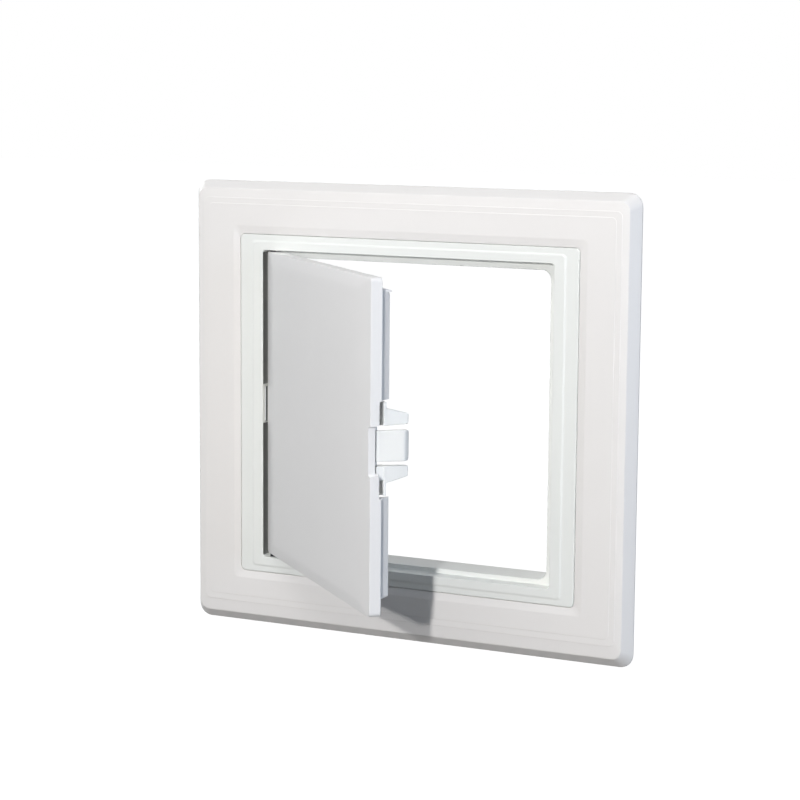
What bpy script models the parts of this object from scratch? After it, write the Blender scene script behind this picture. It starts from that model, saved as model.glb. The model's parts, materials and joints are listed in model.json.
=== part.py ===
"""Ceiling access panel: a white moulded surround, an inner door frame with a short neck
that passes through the ceiling board, and a small hinged door with a snap latch.

The panel stands upright. X runs to the right seen from the front, Z runs up, and the front
faces -Y. The plane Y = 0 is the face of the ceiling board, and the origin is the centre of
the cut-out. All lengths are metres. The door is modelled as it stands, partly open.
"""

import math

import bmesh
import bpy

# Overall size of the surround
FRAME_WIDTH = 0.150
FRAME_HEIGHT = 0.141
FRAME_CORNER_RADIUS = 0.0042

# Flat band of the surround, from its outer edge to the seam
SIDE_BAND = 0.01775
TOP_BAND = 0.01675
FACE_HEIGHT = 0.0043
SKIRT_HEIGHT = 0.0005
CHAMFER_WIDTH = 0.0026
SHOULDER_WIDTH = 0.0022
SHOULDER_RISE = 0.0006
STEP_WIDTH = 0.0023
STEP_DROP = 0.0005
SEAM_CORNER_RADIUS = 0.0016
SURROUND_WALL = 0.0015
SURROUND_PLATE = 0.0016
SURROUND_RIB_THICKNESS = 0.0012
SURROUND_RIB_SPACING = 0.025
SURROUND_RIB_RECESS = 0.0010
SURROUND_RIB_INSET = 0.00215

# Band of the door frame, from the seam to the opening, and the opening's edge
INNER_SIDE_BAND = 0.0085
INNER_TOP_BAND = 0.0050
OPENING_CORNER_RADIUS = 0.0011
LIP_ROUNDING = 0.0003
BEAD_WIDTH_SIDE = 0.0038
BEAD_WIDTH_TOP = 0.0026
BEAD_RISE = 0.00035
BEAD_RAMP = 0.0004

# Lap of the door frame's flange under the surround
LAP = 0.0037
FLANGE_THICKNESS = 0.0019
FLANGE_CORNER_RADIUS = 0.0030
PIECE_GAP = 0.0003

# Recess, ledge and neck behind the opening
JAMB_DEPTH = 0.0046
LEDGE_WIDTH = 0.0024
LEDGE_THICKNESS = 0.0018
NECK_LENGTH = 0.0110
NECK_WALL = 0.0018
NECK_CORNER_RADIUS = 0.0030

# Windows in the side walls of the door frame, and the pockets cored out behind its face
WINDOW_HEIGHT = 0.0112
CATCH_WINDOW_START = 0.0042
CATCH_WINDOW_END = 0.0092
FACE_PLATE = 0.0018
CORE_WALL = 0.0017
CORE_END_MARGIN = 0.0060
CORE_WEB = 0.0030

# Door
HINGE_SIDE_GAP = 0.0003
FREE_SIDE_GAP = 0.0009
TOP_GAP = 0.0005
BOTTOM_GAP = 0.0014
LIP_TO_DOOR_EDGE = 0.0008
DOOR_RIM_DEPTH = 0.00345
DOOR_CROWN = 0.00045
DOOR_PLATE = 0.0020
DOOR_SIDE_BORDER = 0.0087
DOOR_TOP_BORDER = 0.0034
DOOR_CORNER_RADIUS = 0.0012
DOOR_EDGE_ROUNDING = 0.0003
RIM_WALL = 0.0020
DOOR_OPEN_ANGLE = 43.0

# Stiffening rib on the back of the door
RIB_THICKNESS = 0.0016
RIB_FREE_INSET = 0.0019
RIB_TOP_INSET = 0.0029
RIB_BOTTOM_INSET = 0.0044
RIB_HINGE_INSET = 0.0060
SIDE_RIB_DEPTH = 0.0068
TOP_RIB_RISE = 0.0007

# Finger notch in the free edge of the door
NOTCH_HEIGHT = 0.0136
NOTCH_DEPTH = 0.0013
NOTCH_END_RADIUS = 0.0009

# Snap latch, seated behind the free edge, with its fins and tongue a little above its middle
LATCH_HEIGHT = 0.0270
LATCH_LIFT = 0.00085
LATCH_BLOCK_INSET = 0.00225
LATCH_FACE_INSET = 0.00245
LATCH_BACK_INSET = 0.0054
LATCH_BLOCK_DEPTH = 0.0057
LATCH_REACH = 0.0124
RIM_REBATE = 0.0007
ROOT_BAR_DEPTH = 0.0036
FIN_THICKNESS = 0.0020
FIN_BASE_HEIGHT = 0.0051
FIN_TIP_HEIGHT = 0.0030
FIN_TIP_SHIFT = 0.0003
FIN_EDGE_RADIUS = 0.0003
TONGUE_HEIGHT = 0.0088
TONGUE_SIDE_GAP = 0.0012
TONGUE_THICKNESS = 0.0014
TONGUE_ROOT_GAP = 0.0006
CATCH_RISE = 0.0015
CATCH_START = 0.0036
CATCH_TOP_START = 0.0100
CATCH_TOP_END = 0.0108
LEAD_IN_DROP = 0.0012

# Hinge pins
PIN_RADIUS = 0.0009
PIN_BORE_CLEARANCE = 0.0001
PIN_IN_DOOR = 0.0037
PIN_IN_FRAME = 0.0024
PIN_END_GAP = 0.0003
PIN_TIP_BEVEL = 0.0002

# Fineness of round shapes, and how far a tool shape runs past what it cuts or joins
CORNER_STEPS = 6
HINGE_EDGE_ANGLES = (0, 20, 40, 60, 75, 90, 105, 120, 140, 160, 180)
ROUND_STEPS = 32
OVERRUN = 0.0010
EMBED = 0.0002
SHARP_ANGLE = math.radians(35.0)

# Sizes that follow from the ones above
SEAM_WIDTH = FRAME_WIDTH - 2 * SIDE_BAND
SEAM_HEIGHT = FRAME_HEIGHT - 2 * TOP_BAND
OPENING_WIDTH = SEAM_WIDTH - 2 * INNER_SIDE_BAND
OPENING_HEIGHT = SEAM_HEIGHT - 2 * INNER_TOP_BAND
LEDGE_Y = JAMB_DEPTH - FACE_HEIGHT
NECK_WIDTH = OPENING_WIDTH - 2 * LEDGE_WIDTH
NECK_HEIGHT = OPENING_HEIGHT - 2 * LEDGE_WIDTH
NECK_END_Y = LEDGE_Y + NECK_LENGTH
LEDGE_BACK_Y = LEDGE_Y + LEDGE_THICKNESS
BAND_Y = STEP_DROP - FACE_HEIGHT
DOOR_EDGE_Y = LIP_TO_DOOR_EDGE - FACE_HEIGHT
BARREL_RADIUS = DOOR_RIM_DEPTH / 2
HINGE_X = HINGE_SIDE_GAP + BARREL_RADIUS - OPENING_WIDTH / 2
HINGE_Y = DOOR_EDGE_Y + BARREL_RADIUS
FREE_EDGE_X = OPENING_WIDTH / 2 - FREE_SIDE_GAP
DOOR_TOP = OPENING_HEIGHT / 2 - TOP_GAP
DOOR_BOTTOM = BOTTOM_GAP - OPENING_HEIGHT / 2
TOP_RIB_DEPTH = SIDE_RIB_DEPTH + TOP_RIB_RISE
FIN_INNER_Z = TONGUE_HEIGHT / 2 + TONGUE_SIDE_GAP
PIN_BORE_RADIUS = PIN_RADIUS + PIN_BORE_CLEARANCE


# Materials

def plastic(name, colour, roughness):
    """A moulded plastic with the given colour and roughness."""
    material = bpy.data.materials.new(name)
    material.use_nodes = True
    shader = material.node_tree.nodes["Principled BSDF"]
    shader.inputs["Base Color"].default_value = (*colour, 1.0)
    shader.inputs["Roughness"].default_value = roughness
    shader.inputs["Metallic"].default_value = 0.0
    return material


def steel(name, colour, roughness):
    """A drawn steel with the given colour and roughness."""
    material = plastic(name, colour, roughness)
    shader = material.node_tree.nodes["Principled BSDF"]
    shader.inputs["Metallic"].default_value = 1.0
    return material


# Outlines and solids

def rectangle(x_low, x_high, z_low, z_high, radius, y):
    """Points of a rectangle with rounded corners, in the plane at depth y."""
    centres = (
        (x_high - radius, z_high - radius, 0.0),
        (x_low + radius, z_high - radius, 90.0),
        (x_low + radius, z_low + radius, 180.0),
        (x_high - radius, z_low + radius, 270.0),
    )
    points = []
    for centre_x, centre_z, start in centres:
        for step in range(CORNER_STEPS + 1):
            angle = math.radians(start + 90.0 * step / CORNER_STEPS)
            x = centre_x + radius * math.cos(angle)
            z = centre_z + radius * math.sin(angle)
            points.append((x, y, z))
    return points


def centred(width, height, radius, y):
    """A rounded rectangle round the middle of the opening."""
    return rectangle(-width / 2, width / 2, -height / 2, height / 2, radius, y)


def finish_mesh(mesh, name, material):
    """Turn a bmesh into an object with outward faces and smooth rounds."""
    bmesh.ops.recalc_face_normals(mesh, faces=mesh.faces)
    data = bpy.data.meshes.new(name)
    mesh.to_mesh(data)
    mesh.free()
    data.shade_smooth()
    data.set_sharp_from_angle(angle=SHARP_ANGLE)
    if material is not None:
        data.materials.append(material)
    piece = bpy.data.objects.new(name, data)
    bpy.context.scene.collection.objects.link(piece)
    return piece


def skin(mesh, loops, closed):
    """Join outlines with equal point counts by faces; a closed skin meets its own start."""
    rings = [[mesh.verts.new(point) for point in loop] for loop in loops]
    followers = rings[1:] + ([rings[0]] if closed else [])
    for ring, follower in zip(rings, followers):
        count = len(ring)
        for index in range(count):
            after = (index + 1) % count
            mesh.faces.new((ring[index], ring[after], follower[after], follower[index]))
    return rings


def ring_solid(name, loops, material=None):
    """A closed ring whose cross-section passes through every outline in turn."""
    mesh = bmesh.new()
    skin(mesh, loops, closed=True)
    return finish_mesh(mesh, name, material)


def capped_solid(name, loops, material=None):
    """A solid skinned over outlines, with a flat face on the first and the last."""
    mesh = bmesh.new()
    rings = skin(mesh, loops, closed=False)
    mesh.faces.new(rings[0])
    mesh.faces.new(rings[-1])
    return finish_mesh(mesh, name, material)


def add_box(mesh, low, high):
    """Add a box between two corners to a bmesh."""
    made = bmesh.ops.create_cube(mesh, size=1.0)
    for vertex in made["verts"]:
        vertex.co = [
            low[axis] + (high[axis] - low[axis]) * (vertex.co[axis] + 0.5)
            for axis in range(3)
        ]


def boxes(name, corners):
    """One object of separate boxes, each given by its low and high corner."""
    mesh = bmesh.new()
    for low, high in corners:
        add_box(mesh, low, high)
    return finish_mesh(mesh, name, None)


def prism(name, outline, z_low, z_high, material=None):
    """An outline in the XY plane raised from z_low to z_high."""
    mesh = bmesh.new()
    base = mesh.faces.new([mesh.verts.new((x, y, z_low)) for x, y in outline])
    raised = bmesh.ops.extrude_face_region(mesh, geom=[base])
    for item in raised["geom"]:
        if isinstance(item, bmesh.types.BMVert):
            item.co.z = z_high
    return finish_mesh(mesh, name, material)


def upright_cylinder(name, x, y, z_low, z_high, radius, material=None, bevel=0.0):
    """A round bar along Z, with its end edges bevelled if asked."""
    sections = [(z_low, radius - bevel), (z_high, radius - bevel)]
    if bevel:
        sections = [
            (z_low, radius - bevel),
            (z_low + bevel, radius),
            (z_high - bevel, radius),
            (z_high, radius - bevel),
        ]
    loops = []
    for z, reach in sections:
        turn = [2 * math.pi * step / ROUND_STEPS for step in range(ROUND_STEPS)]
        loops.append([(x + reach * math.cos(a), y + reach * math.sin(a), z) for a in turn])
    return capped_solid(name, loops, material)


def combine(piece, tool, operation):
    """Join a tool shape to a piece, or cut it out, and hide the tool."""
    modifier = piece.modifiers.new(tool.name, "BOOLEAN")
    modifier.operation = operation
    modifier.object = tool
    tool.hide_render = True
    tool.display_type = "WIRE"
    tool.parent = piece.parent
    return piece


def mirrored_boxes(corners):
    """The given boxes and their mirror images across the middle plane X = 0."""
    both = list(corners)
    for low, high in corners:
        both.append(((-high[0], low[1], low[2]), (-low[0], high[1], high[2])))
    return both


# Surround

def surround_rib_boxes(inner_wall, channel_floor):
    """Short ribs across the hollow back of the surround, on all four sides."""
    back = -SURROUND_RIB_RECESS
    floor = channel_floor - EMBED
    half_rib = SURROUND_RIB_THICKNESS / 2
    inner_x = SEAM_WIDTH / 2 + inner_wall - EMBED
    inner_z = SEAM_HEIGHT / 2 + inner_wall - EMBED
    outer_x = FRAME_WIDTH / 2 - SURROUND_RIB_INSET
    outer_z = FRAME_HEIGHT / 2 - SURROUND_RIB_INSET
    count = int(min(inner_x, inner_z) / SURROUND_RIB_SPACING)
    corners = []
    for place in range(-count, count + 1):
        along = place * SURROUND_RIB_SPACING
        for side in (-1, 1):
            x_ends = sorted((side * inner_x, side * outer_x))
            z_ends = sorted((side * inner_z, side * outer_z))
            corners.append((
                (x_ends[0], floor, along - half_rib),
                (x_ends[1], back, along + half_rib),
            ))
            corners.append((
                (along - half_rib, floor, z_ends[0]),
                (along + half_rib, back, z_ends[1]),
            ))
    return corners


def make_surround(material):
    """The wide outer bezel, a hollow moulding that laps over the door frame's flange."""
    chamfer_y = SHOULDER_RISE - FACE_HEIGHT
    plate_back = SURROUND_PLATE - FACE_HEIGHT
    lap_y = -FLANGE_THICKNESS - PIECE_GAP
    lap_reach = LAP + PIECE_GAP
    inner_wall = lap_reach + SURROUND_WALL
    shoulder = CHAMFER_WIDTH + SHOULDER_WIDTH
    slant = CHAMFER_WIDTH * (SURROUND_PLATE - SKIRT_HEIGHT) / (-chamfer_y - SKIRT_HEIGHT)
    wall_foot = SURROUND_WALL
    wall_head = SURROUND_WALL + slant

    def inside_edge(inset, y):
        radius = max(FRAME_CORNER_RADIUS - 0.5 * inset, SEAM_CORNER_RADIUS)
        return centred(FRAME_WIDTH - 2 * inset, FRAME_HEIGHT - 2 * inset, radius, y)

    def outside_seam(offset, y, radius=SEAM_CORNER_RADIUS):
        return centred(SEAM_WIDTH + 2 * offset, SEAM_HEIGHT + 2 * offset, radius, y)

    loops = [
        inside_edge(0.0, 0.0),
        inside_edge(0.0, -SKIRT_HEIGHT),
        inside_edge(CHAMFER_WIDTH, chamfer_y),
        inside_edge(shoulder, -FACE_HEIGHT),
        outside_seam(STEP_WIDTH, -FACE_HEIGHT),
        outside_seam(0.0, BAND_Y),
        outside_seam(0.0, lap_y),
        outside_seam(lap_reach, lap_y, FLANGE_CORNER_RADIUS + PIECE_GAP),
        outside_seam(lap_reach, 0.0, FLANGE_CORNER_RADIUS + PIECE_GAP),
        outside_seam(inner_wall, 0.0, FLANGE_CORNER_RADIUS),
        outside_seam(inner_wall, plate_back, FLANGE_CORNER_RADIUS),
        inside_edge(wall_head, plate_back),
        inside_edge(wall_foot, 0.0),
    ]
    surround = ring_solid("trim_frame", loops, material)
    ribs = boxes("trim_frame_ribs", surround_rib_boxes(inner_wall, plate_back))
    return combine(surround, ribs, "UNION")


# Door frame

def door_frame_windows():
    """Windows through the jamb and the neck at mid height, on both sides."""
    half = WINDOW_HEIGHT / 2
    opening_edge = OPENING_WIDTH / 2
    neck_edge = NECK_WIDTH / 2
    core_edge = SEAM_WIDTH / 2 - PIECE_GAP - CORE_WALL
    finger = (
        (opening_edge - OVERRUN, FACE_PLATE - FACE_HEIGHT, -half),
        (core_edge, LEDGE_Y - PIECE_GAP, half),
    )
    catch = (
        (neck_edge - OVERRUN, CATCH_WINDOW_START, -half),
        (neck_edge + NECK_WALL + OVERRUN, CATCH_WINDOW_END, half),
    )
    return mirrored_boxes([finger, catch])


def door_frame_cores():
    """Pockets cored out of the side bands from behind, so that the walls stay even."""
    inner = OPENING_WIDTH / 2 + CORE_WALL
    outer = SEAM_WIDTH / 2 - PIECE_GAP - CORE_WALL
    top = OPENING_HEIGHT / 2 - CORE_END_MARGIN
    middle = WINDOW_HEIGHT / 2 + CORE_WEB
    front = FACE_PLATE - FACE_HEIGHT
    half = WINDOW_HEIGHT / 2
    spans = ((middle, top), (-top, -middle), (-half, half))
    corners = [((inner, front, low), (outer, OVERRUN, high)) for low, high in spans]
    return mirrored_boxes(corners)


def make_door_frame(material):
    """Inner band, bead, jamb, ledge and neck in one moulding."""
    flange_w = SEAM_WIDTH + 2 * LAP
    flange_h = SEAM_HEIGHT + 2 * LAP
    band_w = SEAM_WIDTH - 2 * PIECE_GAP
    band_h = SEAM_HEIGHT - 2 * PIECE_GAP
    band_r = SEAM_CORNER_RADIUS - PIECE_GAP
    bead_w = OPENING_WIDTH + 2 * BEAD_WIDTH_SIDE
    bead_h = OPENING_HEIGHT + 2 * BEAD_WIDTH_TOP
    bead_y = -FACE_HEIGHT
    band_y = bead_y + BEAD_RISE
    wall_w = OPENING_WIDTH + 2 * CORE_WALL
    wall_h = OPENING_HEIGHT + 2 * CORE_WALL
    neck_out_w = NECK_WIDTH + 2 * NECK_WALL
    neck_out_h = NECK_HEIGHT + 2 * NECK_WALL
    neck_out_r = NECK_CORNER_RADIUS + NECK_WALL
    wall_r = OPENING_CORNER_RADIUS + CORE_WALL

    def opening(offset, y):
        radius = OPENING_CORNER_RADIUS + 0.5 * offset
        return centred(OPENING_WIDTH + 2 * offset, OPENING_HEIGHT + 2 * offset, radius, y)

    lip = [
        opening(LIP_ROUNDING * (1 - math.sin(math.radians(angle))),
                bead_y + LIP_ROUNDING * (1 - math.cos(math.radians(angle))))
        for angle in (0, 30, 60, 90)
    ]
    loops = [
        centred(flange_w, flange_h, FLANGE_CORNER_RADIUS, 0.0),
        centred(flange_w, flange_h, FLANGE_CORNER_RADIUS, -FLANGE_THICKNESS),
        centred(band_w, band_h, band_r, -FLANGE_THICKNESS),
        centred(band_w, band_h, band_r, band_y),
        centred(bead_w + 2 * BEAD_RAMP, bead_h + 2 * BEAD_RAMP, band_r, band_y),
        centred(bead_w, bead_h, band_r, bead_y),
        *lip,
        opening(0.0, LEDGE_Y),
        centred(NECK_WIDTH, NECK_HEIGHT, NECK_CORNER_RADIUS, LEDGE_Y),
        centred(NECK_WIDTH, NECK_HEIGHT, NECK_CORNER_RADIUS, NECK_END_Y),
        centred(neck_out_w, neck_out_h, neck_out_r, NECK_END_Y),
        centred(neck_out_w, neck_out_h, neck_out_r, LEDGE_BACK_Y),
        centred(wall_w, wall_h, wall_r, LEDGE_BACK_Y),
        centred(wall_w, wall_h, wall_r, 0.0),
    ]
    frame = ring_solid("door_frame", loops, material)
    combine(frame, boxes("door_frame_cores", door_frame_cores()), "DIFFERENCE")
    combine(frame, boxes("door_frame_windows", door_frame_windows()), "DIFFERENCE")
    for side, low, high in pin_sockets():
        socket = upright_cylinder(
            "door_frame_socket_" + side, HINGE_X, HINGE_Y, low, high, PIN_BORE_RADIUS)
        combine(frame, socket, "DIFFERENCE")
    return frame


def pin_sockets():
    """Bottom and top ends of the blind hole for each hinge pin in the door frame."""
    inner = OPENING_HEIGHT / 2 - OVERRUN
    outer = OPENING_HEIGHT / 2 + PIN_IN_FRAME + PIN_END_GAP
    return (("top", inner, outer), ("bottom", -outer, -inner))


# Door, in coordinates whose origin is the hinge axis with the door closed

def door_depth(depth):
    """Local Y of a place at the given depth behind the front edge of the door's rim."""
    return DOOR_EDGE_Y - HINGE_Y + depth


def from_free_edge(inset):
    """Local X of a place at the given inset from the free edge of the door."""
    return FREE_EDGE_X - HINGE_X - inset


def door_outline(angle):
    """The door's outline at an angle round its hinge edge, from 0 in front to 180 behind."""
    turn = math.radians(angle)
    depth = BARREL_RADIUS * (1 - math.cos(turn))
    inset = max(DOOR_EDGE_ROUNDING - depth, 0.0)
    hinge_edge = -BARREL_RADIUS * math.sin(turn)
    return rectangle(hinge_edge, from_free_edge(inset), DOOR_BOTTOM + inset,
                     DOOR_TOP - inset, DOOR_CORNER_RADIUS, door_depth(depth))


def make_door_panel(material, axis):
    """Door plate with a crowned face, a round hinge edge, a rim and a back rib."""
    border_x = DOOR_SIDE_BORDER - BARREL_RADIUS
    radius = DOOR_CORNER_RADIUS
    panel = rectangle(border_x, from_free_edge(DOOR_SIDE_BORDER),
                      DOOR_BOTTOM + DOOR_TOP_BORDER, DOOR_TOP - DOOR_TOP_BORDER,
                      radius, door_depth(-DOOR_CROWN))
    pocket = (BARREL_RADIUS + RIM_WALL, from_free_edge(RIM_WALL),
              DOOR_BOTTOM + RIM_WALL, DOOR_TOP - RIM_WALL)
    loops = [
        panel,
        *[door_outline(angle) for angle in HINGE_EDGE_ANGLES],
        rectangle(*pocket, radius, door_depth(DOOR_RIM_DEPTH)),
        rectangle(*pocket, radius, door_depth(DOOR_PLATE)),
    ]
    door = capped_solid("door_panel", loops, material)
    door.parent = axis
    combine(door, make_back_rib(), "UNION")
    combine(door, boxes("door_panel_top_rib", [top_rib_box()]), "UNION")
    for part, corners in latch_seat_boxes():
        combine(door, boxes("door_panel_latch_" + part, [corners]), "DIFFERENCE")
    combine(door, make_finger_notch(), "DIFFERENCE")
    for side, low, high in door_bores():
        bore = upright_cylinder(
            "door_panel_bore_" + side, 0.0, 0.0, low, high, PIN_BORE_RADIUS)
        combine(door, bore, "DIFFERENCE")
    return door


def rib_span():
    """Bottom and top of the rib on the back of the door."""
    return DOOR_BOTTOM + RIB_BOTTOM_INSET, DOOR_TOP - RIB_TOP_INSET


def make_back_rib():
    """Ring-shaped rib that stands on the back of the door plate."""
    bottom, top = rib_span()
    x_low = BARREL_RADIUS + RIB_HINGE_INSET
    x_high = from_free_edge(RIB_FREE_INSET)
    wall = RIB_THICKNESS
    foot = door_depth(DOOR_PLATE - EMBED)
    crest = door_depth(SIDE_RIB_DEPTH)
    radius = DOOR_CORNER_RADIUS
    outer = (x_low, x_high, bottom, top)
    inner = (x_low + wall, x_high - wall, bottom + wall, top - wall)
    loops = [
        rectangle(*outer, radius, foot),
        rectangle(*outer, radius, crest),
        rectangle(*inner, radius, crest),
        rectangle(*inner, radius, foot),
    ]
    return ring_solid("door_panel_rib", loops)


def top_rib_box():
    """The upper run of the rib, which stands a little deeper than its other three sides."""
    top = rib_span()[1]
    x_low = BARREL_RADIUS + RIB_HINGE_INSET + DOOR_CORNER_RADIUS
    x_high = from_free_edge(RIB_FREE_INSET + DOOR_CORNER_RADIUS)
    foot = door_depth(SIDE_RIB_DEPTH - EMBED)
    crest = door_depth(TOP_RIB_DEPTH)
    inset = EMBED / 2
    return (x_low, foot, top - RIB_THICKNESS + inset), (x_high, crest, top - inset)


def latch_seat_boxes():
    """Room for the latch: the rim and rib are cut away, and the rim's back is rebated."""
    half = LATCH_HEIGHT / 2 + PIECE_GAP
    notch = NOTCH_HEIGHT / 2
    deep = door_depth(TOP_RIB_DEPTH)
    outside = from_free_edge(-OVERRUN)
    behind_rim = from_free_edge(LATCH_BLOCK_INSET - PIECE_GAP)
    seat_back = from_free_edge(LATCH_BACK_INSET + PIECE_GAP)
    floor = door_depth(DOOR_PLATE)
    rebate = door_depth(DOOR_RIM_DEPTH - RIM_REBATE)
    return (
        ("seat", ((seat_back, floor, -half), (behind_rim, deep, half))),
        ("mouth", ((behind_rim - EMBED, floor, -notch), (outside, deep, notch))),
        ("rebate", ((behind_rim - EMBED, rebate, -half), (outside, deep, half))),
    )


def make_finger_notch():
    """A shallow notch with rounded ends in the free edge, for a fingernail."""
    half = NOTCH_HEIGHT / 2
    front = door_depth(-DOOR_CROWN - OVERRUN)
    back = door_depth(DOOR_RIM_DEPTH + OVERRUN)
    x_low = from_free_edge(NOTCH_DEPTH)
    x_high = from_free_edge(-NOTCH_DEPTH)
    loops = [
        rectangle(x_low, x_high, -half, half, NOTCH_END_RADIUS, front),
        rectangle(x_low, x_high, -half, half, NOTCH_END_RADIUS, back),
    ]
    return capped_solid("door_panel_notch", loops)


def door_bores():
    """Bottom and top ends of the hole for each hinge pin in the door."""
    depth = PIN_IN_DOOR + PIN_END_GAP
    return (
        ("top", DOOR_TOP - depth, DOOR_TOP + OVERRUN),
        ("bottom", DOOR_BOTTOM - OVERRUN, DOOR_BOTTOM + depth),
    )


# Latch

def fin_loops(side):
    """Outlines of a guide fin, from its root in the latch block to its tapered tip."""
    root = door_depth(LATCH_BLOCK_DEPTH - EMBED)
    tip = door_depth(LATCH_REACH)
    x_high = from_free_edge(LATCH_FACE_INSET)
    x_low = x_high - FIN_THICKNESS
    root_span = (FIN_INNER_Z, FIN_INNER_Z + FIN_BASE_HEIGHT)
    tip_low = FIN_INNER_Z + FIN_TIP_SHIFT
    tip_span = (tip_low, tip_low + FIN_TIP_HEIGHT)
    loops = []
    for (low, high), y in ((root_span, root), (tip_span, tip)):
        z_low, z_high = sorted((LATCH_LIFT + side * low, LATCH_LIFT + side * high))
        loops.append(rectangle(x_low, x_high, z_low, z_high, FIN_EDGE_RADIUS, y))
    return loops


def make_latch_clip(material, axis):
    """Latch body: a root bar, a block at each end and two guide fins."""
    half = LATCH_HEIGHT / 2
    front = door_depth(DOOR_PLATE + PIECE_GAP)
    back_x = from_free_edge(LATCH_BACK_INSET)
    block_x = from_free_edge(LATCH_BLOCK_INSET)
    bar_x = from_free_edge(LATCH_FACE_INSET + TONGUE_THICKNESS + PIECE_GAP)
    bar = ((back_x, front, -half), (bar_x, door_depth(ROOT_BAR_DEPTH), half))
    clip = boxes("latch_clip", [bar])
    clip.data.materials.append(material)
    clip.parent = axis
    block_y = door_depth(LATCH_BLOCK_DEPTH)
    blocks = [
        ((back_x + EMBED, front + EMBED, LATCH_LIFT + FIN_INNER_Z),
         (block_x, block_y, half - EMBED)),
        ((back_x + EMBED, front + EMBED, EMBED - half),
         (block_x, block_y, LATCH_LIFT - FIN_INNER_Z)),
    ]
    combine(clip, boxes("latch_clip_blocks", blocks), "UNION")
    for side, word in ((1, "upper"), (-1, "lower")):
        fin = capped_solid("latch_clip_fin_" + word, fin_loops(side))
        combine(clip, fin, "UNION")
    return clip


def make_latch_tongue(material, flex_axis):
    """Springy tongue whose raised nose drops into the catch window."""
    flex_x, flex_y = tongue_axis()

    def place(inset, depth):
        return from_free_edge(inset) - flex_x, door_depth(depth) - flex_y

    face = LATCH_FACE_INSET
    inside = face + TONGUE_THICKNESS
    root = DOOR_PLATE + TONGUE_ROOT_GAP
    round_radius = TONGUE_THICKNESS / 2
    root_arc = []
    for step in range(CORNER_STEPS + 1):
        angle = math.pi * step / CORNER_STEPS
        inset = face + round_radius * (1 + math.cos(angle))
        depth = root + round_radius * (1 - math.sin(angle))
        root_arc.append(place(inset, depth))
    outline = [
        *root_arc,
        place(face, CATCH_START),
        place(face - CATCH_RISE, CATCH_TOP_START),
        place(face - CATCH_RISE, CATCH_TOP_END),
        place(face - CATCH_RISE + LEAD_IN_DROP, LATCH_REACH),
        place(inside, LATCH_REACH),
    ]
    half = TONGUE_HEIGHT / 2
    tongue = prism("latch_tongue", outline, LATCH_LIFT - half, LATCH_LIFT + half, material)
    tongue.parent = flex_axis
    return tongue


def tongue_axis():
    """Place of the line about which the tongue flexes, from the hinge axis."""
    inset = LATCH_FACE_INSET + TONGUE_THICKNESS / 2
    depth = DOOR_PLATE + TONGUE_ROOT_GAP + TONGUE_THICKNESS / 2
    return from_free_edge(inset), door_depth(depth)


# Hinge pins

def make_hinge_pins(material):
    """A short steel pin at each end of the door's hinge edge."""
    reach = OPENING_HEIGHT / 2 + PIN_IN_FRAME
    spans = (
        ("top", DOOR_TOP - PIN_IN_DOOR, reach),
        ("bottom", -reach, DOOR_BOTTOM + PIN_IN_DOOR),
    )
    for side, low, high in spans:
        upright_cylinder("hinge_pin_" + side, HINGE_X, HINGE_Y, low, high, PIN_RADIUS,
                         material, PIN_TIP_BEVEL)


def make_axis(name, location, parent=None):
    """An empty that marks a joint's axis."""
    axis = bpy.data.objects.new(name, None)
    axis.empty_display_size = BARREL_RADIUS
    axis.location = location
    axis.parent = parent
    bpy.context.scene.collection.objects.link(axis)
    return axis


def main():
    for old in list(bpy.data.objects):
        bpy.data.objects.remove(old, do_unlink=True)
    make_surround(plastic("surround_plastic", (0.86, 0.84, 0.82), 0.42))
    make_door_frame(plastic("door_frame_plastic", (0.86, 0.85, 0.83), 0.38))
    hinge = make_axis("door_hinge_axis", (HINGE_X, HINGE_Y, 0.0))
    hinge.rotation_euler.z = -math.radians(DOOR_OPEN_ANGLE)
    make_door_panel(plastic("door_plastic", (0.86, 0.85, 0.83), 0.40), hinge)
    make_latch_clip(plastic("latch_clip_plastic", (0.87, 0.86, 0.84), 0.38), hinge)
    flex = make_axis("latch_flex_axis", (*tongue_axis(), 0.0), hinge)
    make_latch_tongue(plastic("latch_tongue_plastic", (0.87, 0.86, 0.84), 0.36), flex)
    make_hinge_pins(steel("pin_steel", (0.07, 0.07, 0.075), 0.40))


main()
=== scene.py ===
"""Small moulded access panel, dressed for a product picture.

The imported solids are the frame. Each visible moulding is modelled again with soft creases
and a grained plastic, and rides on the body that its solid belongs to. Lengths are metres:
X runs to the right, Y into the board, and Z up along the hinge.
"""

import json
import math

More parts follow.
